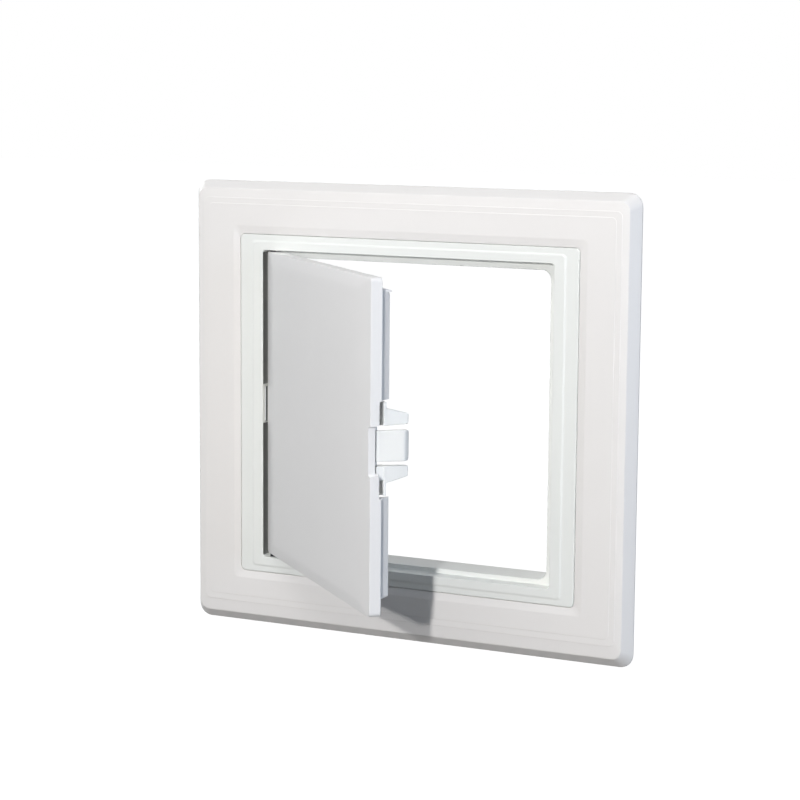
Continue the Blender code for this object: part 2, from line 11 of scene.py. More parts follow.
import bmesh
import bpy
from bpy.props import FloatProperty, FloatVectorProperty, PointerProperty
from bpy.types import Operator, Panel, PropertyGroup
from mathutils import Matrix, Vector


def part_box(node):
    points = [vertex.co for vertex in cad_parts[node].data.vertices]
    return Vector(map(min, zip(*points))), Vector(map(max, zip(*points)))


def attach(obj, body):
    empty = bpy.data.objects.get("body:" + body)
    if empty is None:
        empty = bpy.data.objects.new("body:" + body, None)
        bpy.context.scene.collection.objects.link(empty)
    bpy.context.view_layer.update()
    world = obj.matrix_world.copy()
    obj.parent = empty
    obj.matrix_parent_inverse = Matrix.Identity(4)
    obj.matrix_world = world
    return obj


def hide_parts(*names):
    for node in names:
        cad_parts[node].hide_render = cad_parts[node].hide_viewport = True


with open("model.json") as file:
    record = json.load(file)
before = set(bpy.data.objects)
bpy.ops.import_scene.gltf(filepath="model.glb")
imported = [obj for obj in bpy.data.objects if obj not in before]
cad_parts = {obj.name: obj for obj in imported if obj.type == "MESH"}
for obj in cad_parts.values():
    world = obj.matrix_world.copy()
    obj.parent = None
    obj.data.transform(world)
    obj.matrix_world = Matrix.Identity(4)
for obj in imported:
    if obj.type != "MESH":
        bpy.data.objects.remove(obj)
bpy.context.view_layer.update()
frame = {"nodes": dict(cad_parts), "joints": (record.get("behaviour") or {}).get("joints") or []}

bl_info = {
    "name": "Access Panel Dresser",
    "version": (1, 0, 0),
    "blender": (4, 5, 0),
    "location": "3D View > Sidebar > Access Panel",
    "description": "Models a small hinged access panel around its packed solids",
    "category": "Object",
}

SURROUND_LOW, SURROUND_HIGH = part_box("trim_frame")
JOINTS = {joint["name"]: joint for joint in frame["joints"]}
HINGE = Vector(JOINTS["door_hinge"]["pos_m"])
OPEN_ANGLE = -JOINTS["door_hinge"]["range_deg"][0]

# Frame: the side of the square opening, and Y where the face and the neck end
FACE_Y = SURROUND_LOW.y
NECK_END_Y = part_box("door_frame")[1].y
OPENING = 0.0975
WINDOW_HALF = 0.0056

# Door: X from the hinge's line, and depths from the front edge of the rim
RIM_DEPTH = 0.00345
HINGE_RADIUS = RIM_DEPTH / 2
DOOR_TOP = OPENING / 2 - 0.0005
DOOR_BOTTOM = 0.0014 - OPENING / 2
FREE_EDGE = OPENING / 2 - 0.0009 - HINGE.x
PLATE_DEPTH = 0.0020
SIDE_RIB_DEPTH = 0.0070
TOP_RIB_DEPTH = 0.0075
NOTCH_HALF = 0.0068

# Latch: half heights, its lift above the door's middle, and its depth at the tip
TONGUE_HALF = 0.0044
FIN_START = 0.0056
LATCH_HALF = 0.0135
LATCH_LIFT = 0.00085
LATCH_REACH = 0.0124
LATCH_FACE = FREE_EDGE - 0.00245

# Modelling: how far joined shapes overlap, and how far a cutter passes a surface
EMBED = 0.0002
OVERCUT = 0.001
CORNER_SEGMENTS = 8
SMOOTH_ANGLE = math.radians(40.0)
OUTLINE_LABEL = "outline_number"
ENLARGED = 1000.0
SPREAD = 20.0


class PanelSizes(PropertyGroup):
    """Small sizes that shape the mouldings' creases and sections."""

    surround_corner: FloatProperty(
        name="Surround corner", description="Radius of the surround's outer corners",
        default=0.0042, unit="LENGTH")
    seam_corner: FloatProperty(
        name="Seam corner", description="Radius of the seam's corners",
        default=0.0016, unit="LENGTH")
    crease: FloatProperty(
        name="Crease", description="Length over which an ordinary moulded crease is rounded",
        default=0.0003, unit="LENGTH")
    lip: FloatProperty(
        name="Lip", description="Rounding of the opening's edge",
        default=0.0003, unit="LENGTH")
    door_crown: FloatProperty(
        name="Door crown", description="How far the door's face stands in front of its edge",
        default=0.00045, unit="LENGTH")
    side_border: FloatProperty(
        name="Side border", description="Width of the sloped border at the door's sides",
        default=0.0087, unit="LENGTH")
    top_border: FloatProperty(
        name="Top border", description="Width of the sloped border at the door's top",
        default=0.0034, unit="LENGTH")
    catch_rise: FloatProperty(
        name="Catch rise", description="Height of the nose on the latch tongue",
        default=0.0015, unit="LENGTH")


class PanelFinish(PropertyGroup):
    """Colours and gloss of the plastics and the pins."""

    surround_colour: FloatVectorProperty(
        name="Surround", description="Colour of the surround's plastic",
        default=(0.84, 0.81, 0.785), subtype="COLOR", min=0.0, max=1.0)
    frame_colour: FloatVectorProperty(
        name="Door frame", description="Colour of the door frame's plastic",
        default=(0.84, 0.845, 0.81), subtype="COLOR", min=0.0, max=1.0)
    door_colour: FloatVectorProperty(
        name="Door", description="Colour of the door's plastic",
        default=(0.82, 0.80, 0.785), subtype="COLOR", min=0.0, max=1.0)
    latch_colour: FloatVectorProperty(
        name="Latch", description="Colour of the latch's plastic",
        default=(0.86, 0.855, 0.83), subtype="COLOR", min=0.0, max=1.0)
    pin_colour: FloatVectorProperty(
        name="Pins", description="Colour of the hinge pins' steel",
        default=(0.06, 0.06, 0.065), subtype="COLOR", min=0.0, max=1.0)
    gloss: FloatProperty(
        name="Roughness", description="Mean roughness of the moulded plastics",
        default=0.40, subtype="FACTOR", min=0.0, max=1.0)


# Materials

CLOUD_SCALE = 38.0
SHEEN_SCALE = 120.0
SPECKLE_SCALE = 900.0
COARSE_GRAIN_SCALE = 420.0
FINE_GRAIN_SCALE = 4200.0
GRAIN_HEIGHT = 0.00004
PLASTIC_IOR = 1.50
# Painted shade: the share of its colour that the frame keeps in the hinge grooves, standing in
# for their shadow
PAINTED_GROOVE_SHADE = 0.32
LATCH_GRAIN = 0.6
WIRE_ROUGHNESS = 0.28
WIRE_LINE_SCALE = 5200.0
WIRE_PATCH_SCALE = 300.0
WIRE_LINE_HEIGHT = 0.00003


class Wire:
    """An output socket of a node, with arithmetic that adds Math nodes."""

    def __init__(self, graph, socket):
        self.graph = graph
        self.socket = socket

    def maths(self, operation, other):
        node = self.graph.add("ShaderNodeMath", {"operation": operation},
                              {0: self, 1: other})
        return self.graph.out(node, 0)

    def __add__(self, other):
        return self.maths("ADD", other)

    def __mul__(self, other):
        return self.maths("MULTIPLY", other)


class Graph:
    """The node tree of a material or of the world."""

    def __init__(self, owner):
        self.owner = owner
        owner.use_nodes = True
        self.tree = owner.node_tree
        self.tree.nodes.clear()

    def add(self, kind, settings=None, values=None):
        """Add a node, set it up, and fill its sockets with values or wires."""
        node = self.tree.nodes.new(kind)
        for name, setting in (settings or {}).items():
            setattr(node, name, setting)
        for key, value in (values or {}).items():
            if isinstance(value, Wire):
                self.tree.links.new(value.socket, node.inputs[key])
            else:
                node.inputs[key].default_value = value
        return node

    def out(self, node, key):
        return Wire(self, node.outputs[key])

    def noise(self, place, scale, detail=2.0):
        node = self.add("ShaderNodeTexNoise", {"noise_dimensions": "3D"},
                        {"Vector": place, "Scale": scale, "Detail": detail})
        return self.out(node, 0)

    def blend(self, factor, first, second):
        """Mix two colours by a factor."""
        node = self.add("ShaderNodeMix", {"data_type": "RGBA"},
                        {0: factor, 6: first, 7: second})
        return self.out(node, 2)

    def place(self):
        return self.out(self.add("ShaderNodeTexCoord"), "Object")

    def inside(self, place, low, high):
        """One inside a box given by two corners, and zero outside it."""
        parts = self.add("ShaderNodeSeparateXYZ", None, {0: place})
        mask = 1.0
        for axis in range(3):
            along = self.out(parts, axis)
            mask = (along.maths("GREATER_THAN", low[axis])
                    * along.maths("LESS_THAN", high[axis]) * mask)
        return mask

    def finish(self, shader, output="ShaderNodeOutputMaterial"):
        self.add(output, None, {"Surface": self.out(shader, 0)})
        return self.owner


def new_material(name):
    return Graph(bpy.data.materials.new(name))


def shade(colour, factor):
    """A colour made lighter or darker by a factor, as RGBA."""
    return (*[min(channel * factor, 1.0) for channel in colour], 1.0)


def moulded_plastic(name, colour, roughness, grain=1.0, painted_shade_box=None):
    """Satin moulded plastic: faint clouding, a fine grain and uneven sheen.

    Inside the painted shade box the colour is darkened as painted shade, in place of the shadow
    in a recess.
    """
    graph = new_material(name)
    place = graph.place()
    cloud = graph.noise(place, CLOUD_SCALE, 3.0)
    speckle = graph.noise(place, SPECKLE_SCALE, 2.0)
    clouded = graph.blend(cloud, shade(colour, 0.985), shade(colour, 1.012))
    tinted = graph.blend(speckle * 0.10, clouded, shade(colour, 0.93))
    # Painted shade: the colour is darkened inside the box, in place of the shadow in a recess
    if painted_shade_box:
        tinted = graph.blend(graph.inside(place, *painted_shade_box), tinted,
                             shade(colour, PAINTED_GROOVE_SHADE))
    sheen = graph.noise(place, SHEEN_SCALE, 4.0)
    texture = (graph.noise(place, FINE_GRAIN_SCALE, 1.0) * 0.7
               + graph.noise(place, COARSE_GRAIN_SCALE, 2.0) * 0.3)
    bump = graph.add("ShaderNodeBump", None, {
        "Strength": 0.10 * grain, "Distance": GRAIN_HEIGHT, "Height": texture})
    shader = graph.add("ShaderNodeBsdfPrincipled", None, {
        "Base Color": tinted,
        "Roughness": sheen * 0.10 + (roughness - 0.05),
        "IOR": PLASTIC_IOR,
        "Normal": graph.out(bump, 0),
    })
    return graph.finish(shader)


def drawn_steel(name, colour, roughness):
    """Drawn wire: fine lines along the pin and a few duller patches."""
    graph = new_material(name)
    place = graph.place()
    stretched = graph.add("ShaderNodeMapping", None, {
        "Vector": place, "Scale": (1.0, 1.0, 0.06)})
    lines = graph.noise(graph.out(stretched, 0), WIRE_LINE_SCALE, 2.0)
    patches = graph.noise(place, WIRE_PATCH_SCALE, 2.0)
    bump = graph.add("ShaderNodeBump", None, {
        "Strength": 0.25, "Distance": WIRE_LINE_HEIGHT, "Height": lines})
    shader = graph.add("ShaderNodeBsdfPrincipled", None, {
        "Base Color": graph.blend(lines, shade(colour, 0.9), shade(colour, 1.1)),
        "Roughness": patches * 0.2 + roughness,
        "Metallic": 1.0,
        "Normal": graph.out(bump, 0),
    })
    return graph.finish(shader)


def stage_white(name, colour, glow):
    """A pale stage surface that looks white to the camera and keeps faint shadows."""
    graph = new_material(name)
    place = graph.place()
    tone = graph.blend(graph.noise(place, 3.0), shade(colour, 0.995), shade(colour, 1.0))
    diffuse = graph.add("ShaderNodeBsdfDiffuse", None, {"Color": tone})
    bright = graph.add("ShaderNodeEmission", None, {"Color": tone, "Strength": glow})
    both = graph.add("ShaderNodeAddShader", None, {
        0: graph.out(diffuse, 0), 1: graph.out(bright, 0)})
    seen = seen_directly(graph)
    mixed = graph.add("ShaderNodeMixShader", None, {
        0: seen, 1: graph.out(diffuse, 0), 2: graph.out(both, 0)})
    return graph.finish(mixed)


def seen_directly(graph):
    """One for rays from the camera, or by mirror or glass, and zero for other light."""
    path = graph.add("ShaderNodeLightPath")
    total = (graph.out(path, "Is Camera Ray") + graph.out(path, "Is Glossy Ray")
             + graph.out(path, "Is Transmission Ray"))
    return total.maths("MINIMUM", 1.0)


# Outlines: each is (low x, high x, low z, high z, corner radius, y)

def centred(width, height, radius, y):
    return (-width / 2, width / 2, -height / 2, height / 2, radius, y)


def soften(stations, closed, steps=4):
    """Round the crease at each station, which is an outline and its crease's reach.

    Each outline is replaced by a short curve of outlines. One without reach stays as it is,
    and so does each end of an open row.
    """
    count = len(stations)
    softened = []
    for index, (outline, reach) in enumerate(stations):
        here = Vector(outline)
        at_end = not closed and index in (0, count - 1)
        if reach <= 0.0 or at_end:
            softened.append(tuple(here))
            continue
        before = Vector(stations[index - 1][0])
        after = Vector(stations[(index + 1) % count][0])
        start = here + toward(here, before, reach)
        end = here + toward(here, after, reach)
        for step in range(steps + 1):
            t = step / steps
            point = start * (1 - t) ** 2 + here * (2 * t * (1 - t)) + end * t ** 2
            softened.append(tuple(point))
    return softened


def toward(here, there, reach):
    """A step of the given reach in the section plane, at most 45% of the way there."""
    step = there - here
    length = math.hypot(step[1], step[5])
    length = max(length, math.hypot(step[3], step[5]))
    return step * min(reach / max(length, 1e-9), 0.45)


# Modelling

def start_mesh(name):
    """Add an empty mesh object at the origin, ready to be edited."""
    bpy.ops.object.select_all(action="DESELECT")
    bpy.ops.object.add(type="MESH", location=(0.0, 0.0, 0.0))
    piece = bpy.context.object
    piece.name = name
    piece.data.name = name
    bpy.ops.object.mode_set(mode="EDIT")
    bpy.ops.mesh.select_mode(type="VERT")
    return piece


def close_mesh():
    """Turn all faces outwards, bring the mesh back to real size and leave edit mode."""
    bpy.ops.mesh.select_all(action="SELECT")
    bpy.ops.mesh.normals_make_consistent(inside=False)
    bpy.ops.transform.resize(value=[1.0 / ENLARGED] * 3, center_override=(0.0, 0.0, 0.0))
    bpy.ops.object.mode_set(mode="OBJECT")


def lay_outline(piece, outline, number):
    """Add a plane, size it to an outline, round its corners and keep its edge, numbered.

    The outlines are first laid one behind another, because nested ones can't be bridged.
    """
    x_low, x_high, z_low, z_high, radius, _ = [value * ENLARGED for value in outline]
    centre = ((x_low + x_high) / 2, number * SPREAD, (z_low + z_high) / 2)
    bpy.ops.mesh.primitive_plane_add(size=1.0, location=centre,
                                     rotation=(math.radians(90.0), 0.0, 0.0))
    bpy.ops.transform.resize(value=(x_high - x_low, 1.0, z_high - z_low),
                             center_override=centre)
    bpy.ops.mesh.bevel(offset=radius, segments=CORNER_SEGMENTS, affect="VERTICES")
    bpy.ops.mesh.delete(type="ONLY_FACE")
    mesh = bmesh.from_edit_mesh(piece.data)
    label = mesh.verts.layers.int[OUTLINE_LABEL]
    for vertex in mesh.verts:
        if vertex[label] == 0:
            vertex[label] = number
    bmesh.update_edit_mesh(piece.data)


def select_outlines(piece, wanted):
    """Select the vertices of the outlines with the given numbers."""
    mesh = bmesh.from_edit_mesh(piece.data)
    label = mesh.verts.layers.int[OUTLINE_LABEL]
    for vertex in mesh.verts:
        vertex.select = vertex[label] in wanted
    mesh.select_flush_mode()
    bmesh.update_edit_mesh(piece.data)


def loft(name, outlines, closed):
    """Bridge a row of outlines; a closed row meets its start, an open one is capped."""
    piece = start_mesh(name)
    bmesh.from_edit_mesh(piece.data).verts.layers.int.new(OUTLINE_LABEL)
    last = len(outlines)
    for number, outline in enumerate(outlines, start=1):
        lay_outline(piece, outline, number)
    for number in range(1, last):
        select_outlines(piece, (number, number + 1))
        bpy.ops.mesh.bridge_edge_loops()
    if closed:
        select_outlines(piece, (last, 1))
        bpy.ops.mesh.bridge_edge_loops()
    else:
        for end in (1, last):
            select_outlines(piece, (end,))
            bpy.ops.mesh.edge_face_add()
    for number, outline in enumerate(outlines, start=1):
        select_outlines(piece, (number,))
        shift = outline[5] * ENLARGED - number * SPREAD
        bpy.ops.transform.translate(value=(0.0, shift, 0.0))
    close_mesh()
    piece.data.attributes.remove(piece.data.attributes[OUTLINE_LABEL])
    return piece


def blocks(name, corners, rounding=0.0):
    """Boxes between low and high corners, with their edges rounded, in one object."""
    piece = start_mesh(name)
    for low, high in corners:
        centre = [(a + b) / 2 * ENLARGED for a, b in zip(low, high)]
        size = [(b - a) * ENLARGED for a, b in zip(low, high)]
        bpy.ops.mesh.primitive_cube_add(size=1.0, location=centre)
        bpy.ops.transform.resize(value=size, center_override=centre)
        if rounding:
            bpy.ops.mesh.bevel(offset=rounding * ENLARGED, segments=3, affect="EDGES")
    close_mesh()
    return piece


def pick(piece):
    """Select a piece alone and make it the active one."""
    bpy.ops.object.select_all(action="DESELECT")
    piece.select_set(True)
    bpy.context.view_layer.objects.active = piece


def apply_modifier(piece, kind, **settings):
    """Add a modifier to a piece, set it and apply it."""
    pick(piece)
    modifier = piece.modifiers.new(kind.title(), kind)
    for key, value in settings.items():
        setattr(modifier, key, value)
    bpy.ops.object.modifier_apply(modifier=modifier.name)


def combine(piece, tool, operation):
    """Join a tool shape to a piece or cut it out, and clear the tool away."""
    apply_modifier(piece, "BOOLEAN", operation=operation, object=tool, solver="EXACT")
    bpy.data.objects.remove(tool, do_unlink=True)


def smooth(piece):
    """Shade the rounded creases smooth and leave the flats flat."""
    pick(piece)
    bpy.ops.object.shade_smooth_by_angle(angle=SMOOTH_ANGLE)
    apply_modifier(piece, "WEIGHTED_NORMAL", keep_sharp=True)


def hang_on_hinge(piece):
    """Put a piece, modelled round the hinge's line with the door closed, in its place."""
    pick(piece)
    piece.location = HINGE
    piece.rotation_euler = (0.0, 0.0, -math.radians(OPEN_ANGLE))
    bpy.ops.object.transform_apply(location=True, rotation=True, scale=True)


def fit(piece, material, body, node):
    """Give a finished piece its material and its body, and hide the node it stands for."""
    smooth(piece)
    piece.data.materials.clear()
    piece.data.materials.append(material)
    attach(piece, body)
    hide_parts(node)


def both_sides(corners):
    """Boxes and their mirror images across the middle plane."""
    mirrored = [((-high[0], low[1], low[2]), (-low[0], high[1], high[2]))
                for low, high in corners]
    return list(corners) + mirrored


# Surround: its section runs from the rim on the board over the face to the seam, and back
# behind. Each shift draws the left, bottom and top of an outline further in.

SEAM_W = 0.1145
SEAM_H = 0.1075
RIM_HEIGHT = 0.0005
RIM_SHIFT = (0.0004, -0.0004, 0.0005)
CHAMFER = 0.0026
CHAMFER_SHIFT = (0.0, 0.0, 0.0003)
FACE_FALL = 0.0004
FINE_STEP = 0.00009
LINE_INSETS = (0.0047, 0.0065)
LINE_SHIFTS = ((0.0, 0.0017, 0.0010), (0.0, 0.0019, 0.0010))
STRIP = 0.0024
LAP_Y = -0.0022
LAP_REACH = 0.0040
INNER_WALL = 0.0055
PLATE_BACK = 0.0016
RIM_WALL = (0.0024, 0.0015)
FLANGE_CORNER = 0.0030

SUPPORTS_EACH_WAY = 2
SUPPORT_PITCH = 0.025
SUPPORT_HALF = 0.0006
SUPPORT_BACK = -0.0010
SUPPORT_CLEARANCE = 0.00215


def model_surround(sizes):
    """The bezel's closed section, from the outer edge over the face and back behind."""
    width = SURROUND_HIGH.x - SURROUND_LOW.x
    height = SURROUND_HIGH.z - SURROUND_LOW.z
    corner = sizes.surround_corner
    seam = sizes.seam_corner
    plate_back = FACE_Y + PLATE_BACK

    def inset(amount, y, left=0.0, low=0.0, high=0.0):
        """The outer outline drawn in evenly, and further in at three of its sides."""
        return (left + amount - width / 2, width / 2 - amount, low + amount - height / 2,
                height / 2 - amount - high, max(corner - 0.5 * amount, seam), y)

    def around_seam(offset, y, radius):
        return centred(SEAM_W + 2 * offset, SEAM_H + 2 * offset, radius, y)

    crease = sizes.crease
    (outer_line, inner_line), (outer_shift, inner_shift) = LINE_INSETS, LINE_SHIFTS
    stations = [
        (inset(0.0, 0.0, *RIM_SHIFT), 0.0001),
        (inset(0.0, -RIM_HEIGHT, *RIM_SHIFT), 0.0003),
        (inset(CHAMFER, FACE_Y + FACE_FALL, *CHAMFER_SHIFT), 0.00025),
        (inset(outer_line, FACE_Y + 2 * FINE_STEP, *outer_shift), 0.00003),
        (inset(outer_line + FINE_STEP, FACE_Y + FINE_STEP, *outer_shift), 0.0),
        (inset(inner_line, FACE_Y + FINE_STEP, *inner_shift), 0.00003),
        (inset(inner_line + FINE_STEP, FACE_Y, *inner_shift), 0.0),
        (around_seam(STRIP, FACE_Y, seam), 0.0002),
        (around_seam(0.0, FACE_Y + FACE_FALL, seam), 0.00006),
        (around_seam(0.0, LAP_Y, seam), 0.0),
        (around_seam(LAP_REACH, LAP_Y, FLANGE_CORNER + crease), 0.0),
        (around_seam(LAP_REACH, 0.0, FLANGE_CORNER + crease), 0.0001),
        (around_seam(INNER_WALL, 0.0, FLANGE_CORNER), 0.0001),
        (around_seam(INNER_WALL, plate_back, FLANGE_CORNER), 0.0002),
        (inset(RIM_WALL[0], plate_back), 0.0002),
        (inset(RIM_WALL[1], 0.0), 0.0001),
    ]
    surround = loft("surround", soften(stations, closed=True), closed=True)
    combine(surround, blocks("surround_ribs", support_corners()), "UNION")
    return surround


def support_corners():
    """Low and high corners of the short ribs across the surround's hollow back."""
    floor = FACE_Y + PLATE_BACK - EMBED
    near_x = SEAM_W / 2 + INNER_WALL - EMBED
    near_z = SEAM_H / 2 + INNER_WALL - EMBED
    far_x = SURROUND_HIGH.x - SUPPORT_CLEARANCE
    far_z = SURROUND_HIGH.z - SUPPORT_CLEARANCE
    corners = []
    for place in range(-SUPPORTS_EACH_WAY, SUPPORTS_EACH_WAY + 1):
        low = place * SUPPORT_PITCH - SUPPORT_HALF
        high = place * SUPPORT_PITCH + SUPPORT_HALF
        for side in (-1, 1):
            x_pair = sorted((side * near_x, side * far_x))
            z_pair = sorted((side * near_z, side * far_z))
            corners.append(((x_pair[0], floor, low), (x_pair[1], SUPPORT_BACK, high)))
            corners.append(((low, floor, z_pair[0]), (high, SUPPORT_BACK, z_pair[1])))
    return corners


# Door frame: its section runs from the flange over the band, the bead and the lip to the
# jamb, the ledge and the neck, and back outside the neck.

FLANGE_REACH = 0.0074
FLANGE_FRONT = -0.0019
SEAM_GAP = 0.00026
BAND_FALL = 0.00022
BEAD = (0.0076, 0.0052)
BEAD_RAMP = 0.0008
LIP_WIDTH = OPENING + 0.0008
LIP_THICKNESS = 0.0004
JAMB_DEPTH = 0.0046
JAMB_CORNER = 0.0011
LEDGE_THICKNESS = 0.0018
NECK_STEP = 0.0048
NECK_WALLS = 0.0036
NECK_DROP = 0.0009
NECK_CORNERS = (0.0030, 0.0048)
JAMB_WALLS = 0.0034
JAMB_OUTER_CORNER = 0.0028

SIDE_BAND_FRONT = FACE_Y + 0.0018
SIDE_BAND_OUTER = SEAM_W / 2 - 0.0020
POCKET_END = OPENING / 2 - 0.0060
WEB = 0.0030
CATCH_SPAN = (0.0031, 0.0092)
CATCH_WALL = 0.0028
GROOVE_DEPTH = 0.0007
GROOVE_END_Y = 0.0002
GROOVE_SPANS = ((0.0065, OPENING / 2 - 0.0006), (0.0006 - OPENING / 2, -0.0058))
PIN_BORE_RADIUS = 0.0010
FRAME_BORE = 0.0027


def model_door_frame(sizes):
    """Flange, inner band, bead, jamb, ledge and neck in one closed section."""
    seam = sizes.seam_corner
    inner_seam = seam - sizes.crease
    flange = (SEAM_W + FLANGE_REACH, SEAM_H + FLANGE_REACH)
    band = (SEAM_W - SEAM_GAP, SEAM_H - SEAM_GAP)
    bead = (OPENING + BEAD[0], OPENING + BEAD[1])
    lip = (LIP_WIDTH, OPENING, JAMB_CORNER)
    band_y = FACE_Y + BAND_FALL
    ledge_y = FACE_Y + JAMB_DEPTH
    back_y = ledge_y + LEDGE_THICKNESS
    neck = OPENING - NECK_STEP
    neck_out = neck + NECK_WALLS
    wall = OPENING + JAMB_WALLS
    inner_corner, outer_corner = NECK_CORNERS

    def around_neck(width, radius, y):
        """The neck's outline, whose lower edge lies further out than its upper one."""
        return (-width / 2, width / 2, -width / 2 - NECK_DROP, width / 2, radius, y)

    stations = [
        (centred(*flange, FLANGE_CORNER, 0.0), 0.0001),
        (centred(*flange, FLANGE_CORNER, FLANGE_FRONT), 0.0001),
        (centred(*band, inner_seam, FLANGE_FRONT), 0.0),
        (centred(*band, inner_seam, band_y), 0.0004),
        (centred(bead[0] + BEAD_RAMP, bead[1] + BEAD_RAMP, inner_seam, band_y), 0.0005),
        (centred(*bead, inner_seam, FACE_Y), 0.0005),
        (centred(*lip, FACE_Y), sizes.lip),
        (centred(*lip, ledge_y), 0.00025),
        (around_neck(neck, inner_corner, ledge_y), 0.00025),
        (around_neck(neck, inner_corner, NECK_END_Y), 0.0002),
        (around_neck(neck_out, outer_corner, NECK_END_Y), 0.0002),
        (around_neck(neck_out, outer_corner, back_y), 0.0002),
        (centred(wall, wall, JAMB_OUTER_CORNER, back_y), 0.0002),
        (centred(wall, wall, JAMB_OUTER_CORNER, 0.0), 0.0001),
    ]
    moulding = loft("door_surround", soften(stations, closed=True), closed=True)
    combine(moulding, blocks("cores", core_corners(wall / 2)), "DIFFERENCE")
    combine(moulding, blocks("windows", window_corners(neck / 2)), "DIFFERENCE")
    combine(moulding, blocks("hinge_groove", groove_corners()), "DIFFERENCE")
    for low, high in ((OPENING / 2 - OVERCUT, OPENING / 2 + FRAME_BORE),
                      (-OPENING / 2 - FRAME_BORE, OVERCUT - OPENING / 2)):
        combine(moulding, bore(low, high), "DIFFERENCE")
    return moulding


def core_corners(inner):
    """Pockets behind the side bands, with a solid web beside each window."""
    web = WINDOW_HALF + WEB
    spans = ((web, POCKET_END), (-POCKET_END, -web), (-WINDOW_HALF, WINDOW_HALF))
    return both_sides([((inner, SIDE_BAND_FRONT, low), (SIDE_BAND_OUTER, OVERCUT, high))
                       for low, high in spans])


def window_corners(neck_edge):
    """Windows through the jamb, and through the neck where the latch nose sits."""
    finger = ((OPENING / 2 - OVERCUT, SIDE_BAND_FRONT, -WINDOW_HALF),
              (SIDE_BAND_OUTER, 0.0, WINDOW_HALF))
    catch = ((neck_edge - OVERCUT, CATCH_SPAN[0], -WINDOW_HALF),
             (neck_edge + CATCH_WALL, CATCH_SPAN[1], WINDOW_HALF))
    return both_sides([finger, catch])


def groove_corners():
    """Grooves in the jamb behind the lip, in which the door's round edge turns."""
    edge = LIP_WIDTH / 2
    return [((-edge - GROOVE_DEPTH, FACE_Y + LIP_THICKNESS, low),
             (0.0005 - edge, GROOVE_END_Y, high)) for low, high in GROOVE_SPANS]


def painted_shade_corners():
    """The box that holds the grooves' walls and floor, whose colour is darkened as painted shade
    of the hinge groove.
    """
    edge = LIP_WIDTH / 2
    return ((-edge - 0.00135, FACE_Y + LIP_THICKNESS - 0.0001, -OPENING / 2),
            (-edge - 0.00005, GROOVE_END_Y + 0.0002, OPENING / 2))


def bore(low, high):
    """A round cutter for a hinge pin's hole, between two heights."""
    bpy.ops.object.select_all(action="DESELECT")
    bpy.ops.mesh.primitive_cylinder_add(
        vertices=32, radius=PIN_BORE_RADIUS, depth=high - low,
        location=(HINGE.x, HINGE.y, (low + high) / 2))
    return bpy.context.object


# Door, modelled round the hinge's line with the door closed. CROWN holds places across the
# sloped border, from past its inner end at 1 out to the door's edge at 0, each with the share
# of the crown's height that the face has reached there.

DOOR_CORNER = 0.0012
DOOR_EDGE = 0.00016
CROWN = ((1.35, 1.0), (1.18, 0.995), (1.06, 0.965), (0.96, 0.915),
         (0.85, 0.84), (0.70, 0.70), (0.30, 0.30), (0.12, 0.12))
EDGE_DEGREES = (0, 12, 24, 36, 50, 64, 78, 90, 102, 116, 130, 144, 156, 168, 180)
DOOR_WALL = 0.0020
NOTCH_REACH = 0.0013
NOTCH_FALL = 0.0006
NOTCH_CORNER = 0.0009
NOTCH_DEPTHS = (-0.002, 0.005)
DOOR_BORE = 0.0040

RIB_LOW_X = HINGE_RADIUS + 0.0060
RIB_HIGH_X = FREE_EDGE - 0.0019
RIB_TOP = DOOR_TOP - 0.0029
RIB_BOTTOM = DOOR_BOTTOM + 0.0044
RIB = 0.0016
RIB_BEVEL_START = 0.0043
RIB_BEVEL = 0.0018
RIB_CREST = 0.0021
RIB_CORNERS = (0.0012, 0.0006)
RIB_BOTTOM_SHARE = 0.25
TOP_RIB_END = 0.0012
TOP_RIB_TAPER = 0.0009
TOP_RIB_ROUND = 0.0002

SEAT_HALF = LATCH_HALF + 0.0003
SEAT_LOW_X = FREE_EDGE - 0.0057
SEAT_HIGH_X = FREE_EDGE - 0.00195
SEAT_RIM_DEPTH = RIM_DEPTH - 0.0007


def depth_y(depth):
    """Local Y at a depth behind the front edge of the door's rim."""
    return depth - HINGE_RADIUS


def door_outlines(sizes):
    """Outlines from the crowned face round the edges to the floor of the hollow back."""
    corner = DOOR_CORNER
    edge = DOOR_EDGE
    side = sizes.side_border
    top = sizes.top_border

    def face(share, rise, radius):
        """An outline on the sloped border: share 0 at the door's edge, 1 at its inside."""
        return (edge + (side - HINGE_RADIUS) * share - edge * share,
                FREE_EDGE - edge - (side - edge) * share,
                DOOR_BOTTOM + edge + (top - edge) * share,
                DOOR_TOP - edge - (top - edge) * share,
                radius, depth_y(-rise))

    outlines = [face(share, sizes.door_crown * height, corner) for share, height in CROWN]
    for degrees in EDGE_DEGREES:
        turn = math.radians(degrees)
        depth = HINGE_RADIUS * (1 - math.cos(turn))
        front = max(edge - depth, 0.0)
        back = max(depth - (RIM_DEPTH - edge / 2), 0.0)
        inset = edge * (1 - math.sqrt(max(1 - (front / edge) ** 2, 0.0))) + back
        outlines.append((-HINGE_RADIUS * math.sin(turn) if degrees else 0.0,
                         FREE_EDGE - inset, DOOR_BOTTOM + inset, DOOR_TOP - inset,
                         corner, depth_y(depth)))
    hollow = (HINGE_RADIUS + DOOR_WALL, FREE_EDGE - DOOR_WALL, DOOR_BOTTOM + DOOR_WALL,
              DOOR_TOP - DOOR_WALL, corner)
    outlines.append((*hollow, depth_y(RIM_DEPTH)))
    outlines.append((*hollow, depth_y(PLATE_DEPTH)))
    return outlines


